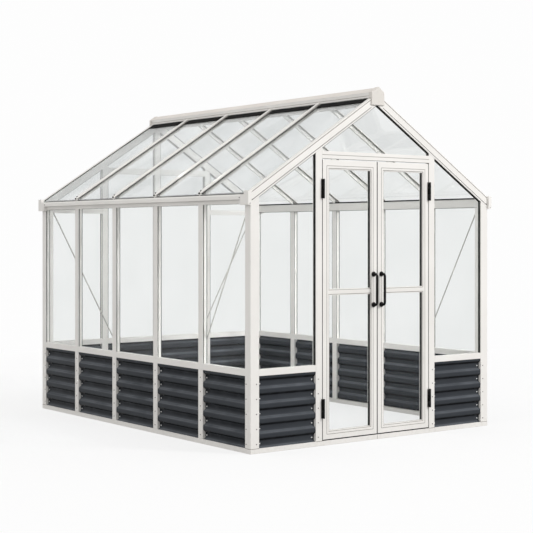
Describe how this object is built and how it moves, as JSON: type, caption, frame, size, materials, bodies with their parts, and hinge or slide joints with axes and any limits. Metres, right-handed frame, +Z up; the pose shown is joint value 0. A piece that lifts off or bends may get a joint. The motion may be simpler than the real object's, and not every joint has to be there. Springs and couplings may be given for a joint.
{
  "type": "glass greenhouse",
  "caption": "Walk-in gabled glass greenhouse with a cream box-section frame, corrugated dwarf walls, side gutters, a capped ridge and hinged double doors.",
  "frame": {"origin": "centre of the whole object's box, on the ground", "axes": "+X to the right along the doorway front, +Y from the doorway front towards the back wall, +Z up"},
  "size_m": [2.372, 3.118, 2.5882],
  "materials": {
    "cream_frame": "satin powder coat on aluminium",
    "clear_glass": "clear float glass",
    "charcoal_sheet": "satin coated steel sheet",
    "black_metal": "satin black powder coat",
    "black_rubber": "matt sealing strip"
  },
  "bodies": {
    "house": {"base_rails": "cream_frame", "front_corner_posts": "cream_frame", "back_corner_posts": "cream_frame", "door_posts": "cream_frame", "door_head": "cream_frame", "left_posts": "cream_frame", "right_posts": "cream_frame", "back_posts": "cream_frame", "front_sills": "cream_frame", "left_sill": "cream_frame", "right_sill": "cream_frame", "back_sills": "cream_frame", "left_eave_beam": "cream_frame", "right_eave_beam": "cream_frame", "left_gutter": "cream_frame", "right_gutter": "cream_frame", "gutter_end_caps": "cream_frame", "front_rafters": "cream_frame", "back_rafters": "cream_frame", "left_roof_bars": "cream_frame", "right_roof_bars": "cream_frame", "ridge_beam": "cream_frame", "ridge_cap": "cream_frame", "ridge_end_caps": "cream_frame", "ridge_seals": "black_rubber", "back_rails": "cream_frame", "wall_braces": "cream_frame", "front_glass": "clear_glass", "left_glass": "clear_glass", "right_glass": "clear_glass", "back_glass": "clear_glass", "left_roof_glass": "clear_glass", "right_roof_glass": "clear_glass", "front_panels": "charcoal_sheet", "left_panels": "charcoal_sheet", "right_panels": "charcoal_sheet", "back_panels": "charcoal_sheet", "frame_hinges": "black_metal"},
    "left_leaf": {"left_door": "cream_frame", "left_door_glass": "clear_glass", "left_door_handle": "black_metal", "left_door_hinges": "black_metal"},
    "right_leaf": {"right_door": "cream_frame", "right_door_glass": "clear_glass", "right_door_handle": "black_metal", "right_door_hinges": "black_metal"}
  },
  "joints": [
    {"name": "left_leaf_hinge", "type": "hinge", "parent": "house", "child": "left_leaf", "pos_m": [-0.52, -1.5235, 0], "axis": [0, 0, -1], "range_deg": [0, 105]},
    {"name": "right_leaf_hinge", "type": "hinge", "parent": "house", "child": "right_leaf", "pos_m": [0.52, -1.5235, 0], "axis": [0, 0, 1], "range_deg": [0, 105]}
  ]
}
